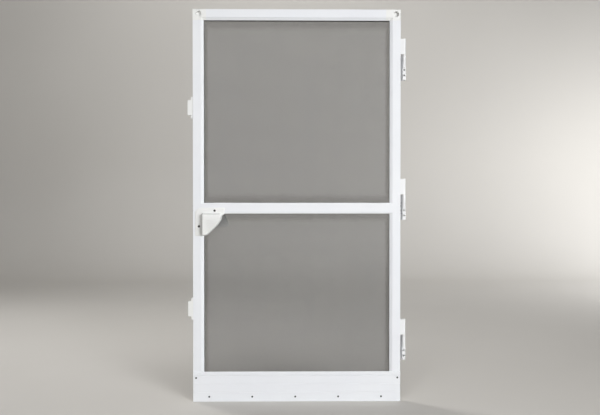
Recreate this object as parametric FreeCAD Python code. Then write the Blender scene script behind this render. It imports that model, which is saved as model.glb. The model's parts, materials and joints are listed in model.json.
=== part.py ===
"""Hinged insect-screen door leaf with its hinges, magnetic catches and corner pulls.

Millimetres, +Z up. The leaf stands in the XZ plane with its front towards -Y. The origin is
the middle of the leaf's bottom edge: X = 0 halfway between the stiles, Y = 0 halfway through
the frame's depth, Z = 0 at the bottom edge. The hinges are on the +X edge and the catches on
the -X edge. The house's jamb face is the plane Y = JAMB_Y, behind the leaf.
"""

import FreeCAD
import Part
import math
import os

Vector = FreeCAD.Vector
X_AXIS, Y_AXIS, Z_AXIS = Vector(1, 0, 0), Vector(0, 1, 0), Vector(0, 0, 1)

# Leaf
LEAF_WIDTH = 1000.0
LEAF_HEIGHT = 1890.0
FRAME_DEPTH = 26.0
STILE_WIDTH = 52.0  # also the top and bottom rails
BEVEL_WIDTH = 14.0  # of the bevel beside the opening
BEVEL_DEPTH = 6.0  # how far the bevel runs back at the opening
PROFILE_WALL = 1.5
JAMB_GAP = 1.5  # from the leaf's back to the jamb's face
FIT_GAP = 0.1  # between pieces of the leaf that butt together
OVERSHOOT = 1.0  # how far a solid runs past a face when it cuts or joins
TOLERANCE = 0.01

# Mid rail
MID_RAIL_WIDTH = 52.0
MID_RAIL_HEIGHT = 934.0  # of its centre line above the leaf's bottom edge
MID_RAIL_EDGE = 5.0  # width of the small bevel along each edge
MID_RAIL_EDGE_DEPTH = 3.0
PORT_OFFSET = 11.0  # screw ports, above and below the rail's centre line
PORT_RADIUS = 3.6
PORT_DEPTH = 9.0  # of the ports' centres behind the front face
PORT_WEB = 2.0  # thickness of the webs that carry the ports

# Screen, its groove on the back face and its spline
LIP_WIDTH = 6.0  # frame material between the groove and the opening
LIP_DROP = 0.8  # the lip stands below the back face, so that the screen lies flush
GROOVE_WIDTH = 4.5
GROOVE_DEPTH = 6.0
SCREEN_THICKNESS = 0.4
SPLINE_GAP = 0.2  # left over across the groove

# Corner blocks
LEFT_BLOCK_EXTRA = 12.0  # how much wider than the stile the top blocks are
RIGHT_BLOCK_EXTRA = 18.0
RECESS_RADIUS = 14.0
RECESS_DEPTH = 14.0
RECESS_FROM_TOP = 22.0
LEFT_RECESS_FROM_EDGE = 28.0
RIGHT_RECESS_FROM_EDGE = 22.0
LEG_LENGTH = 60.0
LEG_GAP = 0.4

# Kick plate
KICK_HEIGHT = 145.0
KICK_THICKNESS = 2.4
KICK_STRIP_HEIGHT = 17.0  # raised strip along the top edge
KICK_STRIP_THICKNESS = 4.2
KICK_LIP_HEIGHT = 7.0  # raised lip along the bottom edge
KICK_LIP_THICKNESS = 3.6
KICK_LIP_CHAMFER = 1.0
KICK_STEP_RISE = 1.5  # height in which the strip and the lip thicken
KICK_TOP_BEVEL = (2.5, 3.0)  # thickness and height taken off the strip's top edge
KICK_GROOVES = (46.0, 86.0, 124.0)  # heights of the fine grooves
KICK_GROOVE_WIDTH = 2.6
KICK_GROOVE_DEPTH = 1.2
KICK_SCREW_HEIGHT = 24.0
KICK_ROW_INSET = 85.0  # of the screw row's ends from the leaf's edges
KICK_SCREW_SHIFT = -8.0  # the row stands a little towards the latch edge
KICK_FOOT_SCREWS = 5
KICK_CORNER_SCREW_HEIGHT = 115.0
KICK_CORNER_SCREW_INSET = 14.0

# Screws
SCREW_RADIUS = 2.0
SCREW_CLEARANCE = 0.05
HEAD_RADIUS = 4.2
HEAD_HEIGHT = 2.2
HEAD_ROUND = 1.0
HEAD_CLEARANCE = 0.3
DRIVE_WIDTH = 1.1  # cross recess in the head
DRIVE_LENGTH = 4.6
DRIVE_DEPTH = 1.3
KICK_SCREW_LENGTH = 16.0
RAIL_SCREW_LENGTH = 65.0

# Corner pulls
PULL_PLATE = 3.0
PULL_REACH = 32.0  # how far each pull stands out of the leaf's face
PULL_WALL = 2.8
PULL_EDGE_INSET = 10.0  # from the leaf's edge to the plate
PULL_CORNER_RADIUS = 27.0
PULL_TOP_ABOVE_RAIL = 28.0  # the plate's top above the mid rail's lower edge
PULL_RIGHT = 102.0  # the plate's end, from the stile's inner edge
PULL_BOTTOM_BELOW_RAIL = 107.0
PULL_SHOULDER = 5.0  # bevel round the hood's front face
RAIL_PULL_SCREW = (52.2, 14.4)  # from the stile's inner edge, above the mid rail's lower edge
STILE_PULL_SCREW = (-23.3, -61.2)
PULL_CHAMFER = 4.0  # at the plate's square corners
HOOD_OPEN_REACH = 20.0  # the hood's cavity runs this far out of its open side
PULL_HEAD_RADIUS = 5.5
PULL_SCREW_SHORT = 0.5  # the screws end this far inside the rear pull's face

# Hinges
HINGE_LENGTH = 200.0
KNUCKLE_LENGTH = 76.0  # the leaf's part, at the top
LOWER_HINGE = 198.0  # height of the hinges' lower ends
MIDDLE_HINGE = 877.0
UPPER_HINGE_BELOW_TOP = 338.0
AXIS_FROM_EDGE = 18.0
AXIS_Y = -5.0
BARREL_RADIUS = 8.0
FLANGE_THICKNESS = 3.0
FLANGE_HALF_DEPTH = 12.0
WEB_BACK_Y = 3.0
FOOT_LENGTH = 60.0
FOOT_FRONT_Y = -11.0
FOOT_HOLES = (22.0, 48.0)  # heights above the hinge's lower end
FOOT_HOLE_RADIUS = 2.5
FOOT_COUNTERBORE_RADIUS = 4.6
FOOT_COUNTERBORE_DEPTH = 15.0
FOOT_ROUND = 3.0
BASE_THICKNESS = 3.0  # plate along the jamb, between the bracket and the leaf's edge
BASE_GAP = 0.5  # from the leaf's edge to that plate
FLANGE_SCREW_INSET = 20.0  # from each end of the knuckle
FLANGE_SCREW_Y = 7.4
FLANGE_SCREW_LENGTH = 14.0
SMALL_HEAD_RADIUS = 3.5
PIN_RADIUS = 3.0
RUNNING_CLEARANCE = 0.05
BARREL_WALL = 2.5
BUSH_LENGTH = 8.0
PLUG_LENGTH = 8.0
PLUG_SEAT = 2.0  # solid metal between the foot and the anchor plug
WASHER_THICKNESS = 1.0
WASHER_INSET = 0.5  # the washer is this much smaller than the barrel
PIN_LIFT = 1.0  # the pin's foot above the anchor plug's seat
BODY_GAP = 0.3  # between faces that turn past each other
CAP_HEIGHT = 2.5
CAP_ROUND = 1.5
SPRING_WIRE_RADIUS = 0.65
SPRING_PITCH = 2.4

# Magnetic catches
LOWER_CATCH = 448.0  # heights of the catches' middles
UPPER_CATCH_BELOW_TOP = 472.0
CATCH_REACH = 26.0
CATCH_BLOCK_LENGTH = 72.0
CATCH_BASE_LENGTH = 104.0
CATCH_BASE_THICKNESS = 9.5
CATCH_FRONT_Y = -10.0
CATCH_ROUND = 2.5
CATCH_SCREW_INSET = 8.0  # from each end of the base
CATCH_SCREW_LENGTH = 22.0
MAGNET_END_WALL = 8.0  # of the housing beyond each end of the magnet
MAGNET_WIDTH = 8.8
MAGNET_DEPTH = 9.0
POLE_THICKNESS = 1.6
POCKET_GAP = 0.2
MAGNET_RECESS = 0.5  # the magnet's face below the housing's back
CATCH_HEAD_SINK = 0.5  # the screw heads below the ears' faces

# Worked out from the above
HALF_WIDTH = LEAF_WIDTH / 2
FACE_WIDTH = STILE_WIDTH - BEVEL_WIDTH
LEFT_BLOCK_WIDTH = STILE_WIDTH + LEFT_BLOCK_EXTRA
RIGHT_BLOCK_WIDTH = STILE_WIDTH + RIGHT_BLOCK_EXTRA
SPLINE_RADIUS = (GROOVE_WIDTH - SCREEN_THICKNESS - SPLINE_GAP) / 2
FRONT_Y = -FRAME_DEPTH / 2
BACK_Y = FRAME_DEPTH / 2
JAMB_Y = BACK_Y + JAMB_GAP
LIP_Y = BACK_Y - LIP_DROP
GROOVE_FLOOR_Y = BACK_Y - GROOVE_DEPTH
GROOVE_IN = STILE_WIDTH - LIP_WIDTH  # groove wall nearest the opening, from the outer edge
GROOVE_OUT = GROOVE_IN - GROOVE_WIDTH
MID_LOW = MID_RAIL_HEIGHT - MID_RAIL_WIDTH / 2
MID_HIGH = MID_RAIL_HEIGHT + MID_RAIL_WIDTH / 2
OPENING_HALF_WIDTH = HALF_WIDTH - STILE_WIDTH
AXIS_X = HALF_WIDTH + AXIS_FROM_EDGE
HOLE_RADIUS = SCREW_RADIUS + SCREW_CLEARANCE
HINGE_BOTTOMS = {
    "lower": LOWER_HINGE,
    "middle": MIDDLE_HINGE,
    "upper": LEAF_HEIGHT - UPPER_HINGE_BELOW_TOP,
}
FLANGE_SCREWS = (FLANGE_SCREW_INSET, KNUCKLE_LENGTH - FLANGE_SCREW_INSET)
BORE_RADIUS = BARREL_RADIUS - BARREL_WALL
SPRING_COIL_RADIUS = (PIN_RADIUS + BORE_RADIUS) / 2
CATCH_HEIGHTS = {"lower": LOWER_CATCH, "upper": LEAF_HEIGHT - UPPER_CATCH_BELOW_TOP}
CATCH_SCREW_OFFSET = CATCH_BASE_LENGTH / 2 - CATCH_SCREW_INSET
MAGNET_LENGTH = CATCH_BLOCK_LENGTH - 2 * MAGNET_END_WALL
PORT_Y = FRONT_Y + PORT_DEPTH
CATCH_MIDDLE = -HALF_WIDTH - CATCH_REACH / 2
CATCH_SCREW_SEAT = -HALF_WIDTH - CATCH_BASE_THICKNESS + HEAD_HEIGHT + CATCH_HEAD_SINK


def box(low, high):
    """A box between two opposite corners."""
    size = Vector(*high) - Vector(*low)
    return Part.makeBox(size.x, size.y, size.z, Vector(*low))


def prism(points, along):
    """A closed outline of points in one plane, extruded by a vector."""
    face = Part.Face(Part.makePolygon(points + points[:1]))
    return face.extrude(along)


def cylinder(radius, start, axis, length):
    return Part.makeCylinder(radius, length, start, axis)


def export(name, *solids):
    """Writes one node: a single solid, or a group of separate ones."""
    for solid in solids:
        assert solid.isValid() and solid.Volume > 0, name
    shape = solids[0] if len(solids) == 1 else Part.makeCompound(list(solids))
    shape.exportStep(os.path.join("parts", name + ".step"))


# Extruded profiles. A section's u runs from the outer edge towards the opening, and v runs from
# the front face to the back.


def stile_section():
    back = FRAME_DEPTH
    return [
        (0, 0),
        (FACE_WIDTH, 0),
        (STILE_WIDTH, BEVEL_DEPTH),
        (STILE_WIDTH, back - LIP_DROP),
        (GROOVE_IN, back - LIP_DROP),
        (GROOVE_IN, back - GROOVE_DEPTH),
        (GROOVE_OUT, back - GROOVE_DEPTH),
        (GROOVE_OUT, back),
        (0, back),
    ]


def stile_hollow():
    wall, back = PROFILE_WALL, FRAME_DEPTH
    inner_back = back - GROOVE_DEPTH - wall
    return [
        (wall, wall),
        (FACE_WIDTH - wall / 2, wall),
        (STILE_WIDTH - wall, BEVEL_DEPTH + wall),
        (STILE_WIDTH - wall, inner_back),
        (GROOVE_OUT - wall, inner_back),
        (GROOVE_OUT - wall, back - wall),
        (wall, back - wall),
    ]


def stile_envelope():
    """The stile's outer shape with its groove filled, which the mid rail's ends fit round."""
    return [
        (0, 0),
        (FACE_WIDTH + FIT_GAP, 0),
        (STILE_WIDTH + FIT_GAP, BEVEL_DEPTH),
        (STILE_WIDTH + FIT_GAP, FRAME_DEPTH),
        (0, FRAME_DEPTH),
    ]


def mid_rail_section():
    """Here u runs across the rail from its lower edge."""
    width, back = MID_RAIL_WIDTH, FRAME_DEPTH
    groove_far = LIP_WIDTH + GROOVE_WIDTH
    half = [
        (MID_RAIL_EDGE, 0),
        (0, MID_RAIL_EDGE_DEPTH),
        (0, back - LIP_DROP),
        (LIP_WIDTH, back - LIP_DROP),
        (LIP_WIDTH, back - GROOVE_DEPTH),
        (groove_far, back - GROOVE_DEPTH),
        (groove_far, back),
    ]
    return half + [(width - u, v) for u, v in reversed(half)]


def mid_rail_hollow():
    wall, width, back = PROFILE_WALL, MID_RAIL_WIDTH, FRAME_DEPTH
    inner_back = back - GROOVE_DEPTH - wall
    step = LIP_WIDTH + GROOVE_WIDTH + wall
    half = [
        (MID_RAIL_EDGE + wall / 2, wall),
        (wall, MID_RAIL_EDGE_DEPTH + wall),
        (wall, inner_back),
        (step, inner_back),
        (step, back - wall),
    ]
    return half + [(width - u, v) for u, v in reversed(half)]


def upright(section, side, low, high):
    """A section standing along one side of the leaf; side is -1 for the left, 1 for the right."""
    points = [Vector(side * (HALF_WIDTH - u), FRONT_Y + v, low) for u, v in section]
    return prism(points, Z_AXIS * (high - low))


def level(section, base, rise, left, right):
    """A section lying along X; u runs up (rise 1) or down (rise -1) from the height base."""
    points = [Vector(left, FRONT_Y + v, base + rise * u) for u, v in section]
    return prism(points, X_AXIS * (right - left))


def corner_runs(base, rise, side, width):
    """The stile's and rail's sections meeting in a corner block, mitred at the opening."""
    inner = side * (HALF_WIDTH - width)
    outer = side * HALF_WIDTH
    lows = sorted((base, base + rise * STILE_WIDTH))
    standing = upright(stile_section(), side, lows[0], lows[1])
    lying = level(stile_section(), base, rise, min(inner, outer), max(inner, outer))
    return standing.fuse(lying).removeSplitter()


def corner_grooves(base, rise, side):
    """The L-shaped groove and the lowered lip, to cut from a corner block."""
    reach = 2 * STILE_WIDTH

    def across(near, far):
        return sorted((side * (HALF_WIDTH - near), side * (HALF_WIDTH - far)))

    def up(near, far):
        return sorted((base + rise * near, base + rise * far))

    pieces = []
    for (x_near, x_far), (z_near, z_far), y in (
        ((GROOVE_OUT, GROOVE_IN), (GROOVE_OUT, reach), GROOVE_FLOOR_Y),
        ((GROOVE_OUT, reach), (GROOVE_OUT, GROOVE_IN), GROOVE_FLOOR_Y),
        ((GROOVE_OUT, reach), (GROOVE_OUT, reach), LIP_Y),
    ):
        (x0, x1), (z0, z1) = across(x_near, x_far), up(z_near, z_far)
        pieces.append(box((x0, y, z0), (x1, BACK_Y + OVERSHOOT, z1)))
    return pieces[0].fuse(pieces[1:])


def corner_legs(base, rise, side, width):
    """The two tongues that slide into the hollow stile and rail."""
    near = PROFILE_WALL + LEG_GAP
    far = FACE_WIDTH - PROFILE_WALL
    y0, y1 = FRONT_Y + near, GROOVE_FLOOR_Y - near
    xs = sorted((side * (HALF_WIDTH - near), side * (HALF_WIDTH - far)))
    root = STILE_WIDTH - OVERSHOOT
    zs = sorted((base + rise * root, base + rise * (STILE_WIDTH + LEG_LENGTH)))
    standing = box((xs[0], y0, zs[0]), (xs[1], y1, zs[1]))
    root = HALF_WIDTH - width + OVERSHOOT
    xs = sorted((side * root, side * (HALF_WIDTH - width - LEG_LENGTH)))
    zs = sorted((base + rise * near, base + rise * far))
    lying = box((xs[0], y0, zs[0]), (xs[1], y1, zs[1]))
    return [standing, lying]


def corner_block(base, rise, side, width, recess=None):
    """A square block with two legs; a top block has a round recess, a bottom one screw holes."""
    block = corner_runs(base, rise, side, width).cut(corner_grooves(base, rise, side))
    block = block.fuse(corner_legs(base, rise, side, width)).cut(kick_holes())
    if recess:
        centre = Vector(side * (HALF_WIDTH - recess), FRONT_Y, base + rise * RECESS_FROM_TOP)
        block = block.cut(cylinder(RECESS_RADIUS, centre, Y_AXIS, RECESS_DEPTH))
    return block.removeSplitter()


def screw(tip, axis, length, head_radius=HEAD_RADIUS, turn=0.0):
    """A pan-head screw with a cross recess. tip is where the head's underside seats, and axis
    points from there out of the head."""
    shank = cylinder(SCREW_RADIUS, tip, -axis, length)
    head = cylinder(head_radius, tip, axis, HEAD_HEIGHT)
    rim = [edge for edge in head.Edges if (edge.CenterOfMass - tip).dot(axis) > HEAD_HEIGHT / 2]
    head = head.makeFillet(HEAD_ROUND, [edge for edge in rim if edge.Closed])
    side = X_AXIS if abs(axis.dot(X_AXIS)) < 0.5 else Y_AXIS
    top = tip + axis * (HEAD_HEIGHT - DRIVE_DEPTH)
    for angle in (45 + turn, 135 + turn):
        along = FreeCAD.Rotation(axis, angle).multVec(side)
        across = axis.cross(along)
        corner = top - along * (DRIVE_LENGTH / 2) - across * (DRIVE_WIDTH / 2)
        outline = [
            corner,
            corner + along * DRIVE_LENGTH,
            corner + along * DRIVE_LENGTH + across * DRIVE_WIDTH,
            corner + across * DRIVE_WIDTH,
        ]
        head = head.cut(prism(outline, axis * (DRIVE_DEPTH + OVERSHOOT)))
    return shank.fuse(head).removeSplitter()


# Where the screws stand


def kick_screw_places():
    """(x, height) of every kick-plate screw."""
    first = -HALF_WIDTH + KICK_ROW_INSET + KICK_SCREW_SHIFT
    spacing = (LEAF_WIDTH - 2 * KICK_ROW_INSET) / (KICK_FOOT_SCREWS - 1)
    foot = [(first + spacing * i, KICK_SCREW_HEIGHT) for i in range(KICK_FOOT_SCREWS)]
    corner = HALF_WIDTH - KICK_CORNER_SCREW_INSET
    return foot + [(side * corner, KICK_CORNER_SCREW_HEIGHT) for side in (-1, 1)]


def pull_screw_places():
    return [
        (-OPENING_HALF_WIDTH + along, MID_LOW + above)
        for along, above in (RAIL_PULL_SCREW, STILE_PULL_SCREW)
    ]


def rail_screw_heights():
    return [MID_RAIL_HEIGHT - PORT_OFFSET, MID_RAIL_HEIGHT + PORT_OFFSET]


def kick_holes():
    start, length = FRONT_Y - 2 * KICK_STRIP_THICKNESS, 2 * KICK_STRIP_THICKNESS
    return [
        cylinder(HOLE_RADIUS, Vector(x, start, z), Y_AXIS, length + KICK_SCREW_LENGTH)
        for x, z in kick_screw_places()
    ]


def pull_holes():
    start = FRONT_Y - PULL_REACH
    return [
        cylinder(HOLE_RADIUS, Vector(x, start, z), Y_AXIS, 2 * PULL_REACH + FRAME_DEPTH)
        for x, z in pull_screw_places()
    ]


def rail_screw_holes():
    start, length = -HALF_WIDTH - OVERSHOOT, LEAF_WIDTH + 2 * OVERSHOOT
    return [
        cylinder(HOLE_RADIUS, Vector(start, PORT_Y, z), X_AXIS, length)
        for z in rail_screw_heights()
    ]


def edge_holes(side, y, heights, length):
    """Holes for screws that enter a stile's outer edge."""
    start = side * (HALF_WIDTH + OVERSHOOT)
    return [cylinder(HOLE_RADIUS, Vector(start, y, z), X_AXIS * -side, length) for z in heights]


def catch_screw_heights():
    return [
        centre + offset
        for centre in CATCH_HEIGHTS.values()
        for offset in (-CATCH_SCREW_OFFSET, CATCH_SCREW_OFFSET)
    ]


def flange_screw_heights(bottom):
    return [bottom + HINGE_LENGTH - KNUCKLE_LENGTH + height for height in FLANGE_SCREWS]


def all_flange_screw_heights():
    return [z for bottom in HINGE_BOTTOMS.values() for z in flange_screw_heights(bottom)]


# The leaf's frame


def stile(side):
    low, high = STILE_WIDTH + FIT_GAP, LEAF_HEIGHT - STILE_WIDTH - FIT_GAP
    hollow = upright(stile_hollow(), side, low - OVERSHOOT, high + OVERSHOOT)
    shape = upright(stile_section(), side, low, high).cut(hollow)
    holes = kick_holes() + rail_screw_holes() + (pull_holes() if side < 0 else [])
    if side < 0:
        holes += edge_holes(side, 0, catch_screw_heights(), STILE_WIDTH / 2)
    else:
        holes += edge_holes(side, FLANGE_SCREW_Y, all_flange_screw_heights(), STILE_WIDTH / 2)
    return shape.cut(holes)


def end_rail(base, rise, left_width, right_width, holes):
    left = -HALF_WIDTH + left_width + FIT_GAP
    right = HALF_WIDTH - right_width - FIT_GAP
    hollow = level(stile_hollow(), base, rise, left - OVERSHOOT, right + OVERSHOOT)
    shape = level(stile_section(), base, rise, left, right).cut(hollow)
    return shape.cut(holes) if holes else shape


def mid_rail():
    """The mid rail, coped over the stiles' bevels, with two screw ports along its hollow."""
    end = HALF_WIDTH - FACE_WIDTH - FIT_GAP
    shape = level(mid_rail_section(), MID_LOW, 1, -end, end)
    past = end + OVERSHOOT
    shape = shape.cut(level(mid_rail_hollow(), MID_LOW, 1, -past, past))
    for z in rail_screw_heights():
        port = cylinder(PORT_RADIUS, Vector(-end, PORT_Y, z), X_AXIS, 2 * end)
        low, high = z - PORT_WEB / 2, z + PORT_WEB / 2
        web = box((-end, FRONT_Y + PROFILE_WALL / 2, low), (end, PORT_Y, high))
        shape = shape.fuse([port, web])
    shape = shape.cut(rail_screw_holes())
    low, high = MID_LOW - OVERSHOOT, MID_HIGH + OVERSHOOT
    for side in (-1, 1):
        shape = shape.cut(upright(stile_envelope(), side, low, high))
    return shape.cut(pull_holes()).removeSplitter()


# Screens and splines


def screen_fields():
    """Name, lower and upper edge of each screen, and how wide the groove is open there."""
    across = HALF_WIDTH - GROOVE_IN
    butt = OPENING_HALF_WIDTH - FIT_GAP
    return [
        ("lower", GROOVE_IN, MID_LOW + LIP_WIDTH, across, butt),
        ("upper", MID_HIGH - LIP_WIDTH, LEAF_HEIGHT - GROOVE_IN, butt, across),
    ]


def screen(low, high, low_half, high_half):
    """Woven screen cloth: a flat sheet whose edges turn down into the grooves."""
    half = HALF_WIDTH - GROOVE_IN
    thick, bottom = SCREEN_THICKNESS, GROOVE_FLOOR_Y + SCREEN_THICKNESS
    low_half, high_half = (min(reach, half - thick) for reach in (low_half, high_half))
    sheet = box((-half, LIP_Y, low), (half, LIP_Y + thick, high))
    turned = [
        box((x, bottom, low), (x + thick, LIP_Y + thick, high)) for x in (-half - thick, half)
    ]
    turned.append(box((-low_half, bottom, low - thick), (low_half, LIP_Y + thick, low)))
    turned.append(box((-high_half, bottom, high), (high_half, LIP_Y + thick, high + thick)))
    return sheet.fuse(turned).removeSplitter()


def spline(low, high, low_half, high_half):
    """Four lengths of vinyl cord pressed into the grooves round one screen."""
    offset = SCREEN_THICKNESS + SPLINE_RADIUS
    y = GROOVE_FLOOR_Y + SPLINE_RADIUS + FIT_GAP
    side_x = HALF_WIDTH - GROOVE_IN + offset
    cords = [
        cylinder(SPLINE_RADIUS, Vector(x, y, low), Z_AXIS, high - low) for x in (-side_x, side_x)
    ]
    limit = side_x - SPLINE_RADIUS - FIT_GAP
    for z, half in ((low - offset, low_half), (high + offset, high_half)):
        reach = min(half, limit)
        cords.append(cylinder(SPLINE_RADIUS, Vector(-reach, y, z), X_AXIS, 2 * reach))
    return cords


# Kick plate


def kick_outline():
    """The plate's section from its foot up, as (thickness, height)."""
    plain, strip_foot = KICK_THICKNESS, KICK_HEIGHT - KICK_STRIP_HEIGHT
    lip, chamfer, rise = KICK_LIP_THICKNESS, KICK_LIP_CHAMFER, KICK_STEP_RISE
    bevel_in, bevel_down = KICK_TOP_BEVEL
    points = [(0, 0), (lip - chamfer, 0), (lip, chamfer)]
    points += [(lip, KICK_LIP_HEIGHT), (plain, KICK_LIP_HEIGHT + rise)]
    for height in KICK_GROOVES:
        half = KICK_GROOVE_WIDTH / 2
        points.append((plain, height - half))
        points.append((plain - KICK_GROOVE_DEPTH, height - half / 3))
        points.append((plain - KICK_GROOVE_DEPTH, height + half / 3))
        points.append((plain, height + half))
    points += [(plain, strip_foot), (KICK_STRIP_THICKNESS, strip_foot + rise)]
    points.append((KICK_STRIP_THICKNESS, KICK_HEIGHT - bevel_down))
    points.append((KICK_STRIP_THICKNESS - bevel_in, KICK_HEIGHT))
    return points + [(0, KICK_HEIGHT)]


def kick_plate():
    points = [Vector(-HALF_WIDTH, FRONT_Y - t, z) for t, z in kick_outline()]
    return prism(points, X_AXIS * LEAF_WIDTH).cut(kick_holes())


# Corner pulls. Outlines are (distance from the latch stile's inner edge, height over the mid
# rail's lower edge), seen from the front. out is how far a point stands from the leaf's face.


def pull_point(along, above, out, face):
    y = FRONT_Y - out if face < 0 else BACK_Y + out
    return Vector(-OPENING_HALF_WIDTH + along, y, MID_LOW + above)


def pull_plate(rim, face):
    """The flat plate on the stile and the mid rail; rim is its free edge over the screen."""
    left, top = PULL_EDGE_INSET - STILE_WIDTH, PULL_TOP_ABOVE_RAIL
    radius = PULL_CORNER_RADIUS
    right, bottom, chamfer = PULL_RIGHT, -PULL_BOTTOM_BELOW_RAIL, PULL_CHAMFER
    sagitta = radius * (1 - math.sqrt(0.5))
    middle = (left + sagitta, top - sagitta)

    def at(point):
        return pull_point(point[0], point[1], 0, face)

    arc = Part.Arc(at((left, top - radius)), at(middle), at((left + radius, top)))
    corners = [(left + radius, top), (right - chamfer, top), (right, top - chamfer)] + rim
    corners += [(0, bottom), (left + chamfer, bottom), (left, bottom + chamfer)]
    corners.append((left, top - radius))
    edges = [arc.toShape()]
    edges += [Part.makeLine(at(a), at(b)) for a, b in zip(corners, corners[1:])]
    return Part.Face(Part.Wire(edges)).extrude(Y_AXIS * (face * PULL_PLATE))


def inset(points, distances):
    """Moves each edge of a clockwise outline inwards by its own distance."""
    moved = []
    count = len(points)
    for i in range(count):
        lines = []
        for j in (i - 1, i):
            (ax, az), (bx, bz) = points[j], points[(j + 1) % count]
            length = math.hypot(bx - ax, bz - az)
            nx, nz = (bz - az) / length, -(bx - ax) / length
            distance = distances[j]
            lines.append((nx, nz, nx * ax + nz * az + distance))
        (a, b, c), (d, e, f) = lines
        det = a * e - b * d
        moved.append(((c * e - b * f) / det, (a * f - c * d) / det))
    return moved


def loft(levels, face):
    """A solid through outlines at increasing distances from the leaf's face."""
    wires = []
    for points, out in levels:
        corners = [pull_point(u, w, out, face) for u, w in points]
        wires.append(Part.makePolygon(corners + corners[:1]))
    return Part.makeLoft(wires, True, True)


def pull(rim, hood, slopes, face):
    """A corner pull: a plate and a raised hood that is open on its left side.

    hood is a clockwise outline from the upper left; its last edge is the open left side.
    slopes are how far each edge leans in between the plate and the hood's front.
    """
    shoulder = PULL_SHOULDER
    neck = PULL_REACH - shoulder
    lean = [slope * neck / PULL_REACH for slope in slopes]
    front = [slope + shoulder for slope in slopes[:-1]] + [0]
    outer = loft([(hood, 0), (inset(hood, lean), neck), (inset(hood, front), PULL_REACH)], face)
    wall = [PULL_WALL] * (len(hood) - 1)
    floor = inset(hood, wall + [-HOOD_OPEN_REACH])
    ceiling = inset(hood, [slope + w for slope, w in zip(lean, wall)] + [-HOOD_OPEN_REACH])
    cavity = loft([(floor, PULL_PLATE), (ceiling, PULL_REACH - PULL_WALL)], face)
    shape = outer.cut(cavity).fuse(pull_plate(rim, face))
    return shape.cut(pull_holes()).removeSplitter()


FRONT_RIM = [(99, -1), (89, -11), (86, -28), (71, -51), (21, -101), (12, -105)]
FRONT_HOOD = [(-2.5, 4), (89, 4), (86, -28), (71, -51), (21, -101), (9, -105), (-2.5, -105)]
FRONT_SLOPES = [8, 2, 2, 2, 2, 2, 0]
REAR_RIM = [(96, 0), (106, -20), (119, -53), (109, -65), (0, -65)]
REAR_HOOD = [(-2.5, 4), (92, 4), (106, -20), (119, -53), (109, -65), (-2.5, -65)]
REAR_SLOPES = [8, 3, 3, 3, 5, 0]


# Hinges


def barrel_section(radius, left, back, bottom, height):
    """A round barrel standing at the hinge axis, with a block behind it."""
    centre = Vector(AXIS_X, AXIS_Y, bottom)
    round_part = cylinder(radius, centre, Z_AXIS, height)
    block = box((left, AXIS_Y, bottom), (AXIS_X + radius, back, bottom + height))
    return round_part.fuse(block).removeSplitter()


def hinge_levels(bottom):
    """Heights that the hinge's pieces share."""
    knuckle = bottom + HINGE_LENGTH - KNUCKLE_LENGTH
    bracket_top = knuckle - BODY_GAP - WASHER_THICKNESS
    plug = bottom + FOOT_LENGTH + PLUG_SEAT
    top = bottom + HINGE_LENGTH - CAP_HEIGHT
    return knuckle, bracket_top, plug, top


def hinge_bracket(bottom):
    """The fixed part: a foot for two screws, the barrel that holds the spring and bush, and a
    base plate that lies on the jamb as far as the leaf's edge."""
    _, bracket_top, plug, _ = hinge_levels(bottom)
    left = AXIS_X - BARREL_RADIUS
    right = AXIS_X + BARREL_RADIUS
    shape = barrel_section(BARREL_RADIUS, left, JAMB_Y, bottom + FOOT_LENGTH,
                           bracket_top - bottom - FOOT_LENGTH)
    foot = box((left, FOOT_FRONT_Y, bottom), (right, JAMB_Y, bottom + FOOT_LENGTH))
    front = [
        edge
        for edge in foot.Edges
        if abs(edge.CenterOfMass.y - FOOT_FRONT_Y) < TOLERANCE
        and edge.CenterOfMass.z < bottom + FOOT_LENGTH - TOLERANCE
    ]
    foot = foot.makeFillet(FOOT_ROUND, front)
    base = box((HALF_WIDTH + BASE_GAP, JAMB_Y - BASE_THICKNESS, bottom),
               (AXIS_X, JAMB_Y, bracket_top))
    shape = shape.fuse([foot, base]).removeSplitter()
    bore = cylinder(BORE_RADIUS, Vector(AXIS_X, AXIS_Y, plug), Z_AXIS, HINGE_LENGTH)
    holes = [bore]
    for height in FOOT_HOLES:
        at = Vector(AXIS_X, FOOT_FRONT_Y, bottom + height)
        holes.append(cylinder(FOOT_COUNTERBORE_RADIUS, at, Y_AXIS, FOOT_COUNTERBORE_DEPTH))
        holes.append(cylinder(FOOT_HOLE_RADIUS, at, Y_AXIS, 2 * FRAME_DEPTH))
    return shape.cut(holes)


def hinge_knuckle(bottom):
    """The leaf's part: a flange on the stile's edge and the upper barrel."""
    knuckle, _, _, top = hinge_levels(bottom)
    height = top - knuckle
    flange = box(
        (HALF_WIDTH, -FLANGE_HALF_DEPTH, knuckle),
        (HALF_WIDTH + FLANGE_THICKNESS, FLANGE_HALF_DEPTH, top),
    )
    web = box((HALF_WIDTH, AXIS_Y - BARREL_RADIUS, knuckle), (AXIS_X, WEB_BACK_Y, top))
    barrel = cylinder(BARREL_RADIUS, Vector(AXIS_X, AXIS_Y, knuckle), Z_AXIS, height)
    start = Vector(AXIS_X, AXIS_Y, knuckle - OVERSHOOT)
    bore = cylinder(PIN_RADIUS, start, Z_AXIS, height + 2 * OVERSHOOT)
    holes = edge_holes(1, FLANGE_SCREW_Y, flange_screw_heights(bottom), STILE_WIDTH)
    holes += [hole.translated(X_AXIS * (FLANGE_THICKNESS + OVERSHOOT)) for hole in holes]
    return flange.fuse([web, barrel]).removeSplitter().cut([bore] + holes)


def hinge_pin(bottom):
    _, _, plug, top = hinge_levels(bottom)
    low = plug + PIN_LIFT
    return cylinder(PIN_RADIUS, Vector(AXIS_X, AXIS_Y, low), Z_AXIS, top - low)


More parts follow.
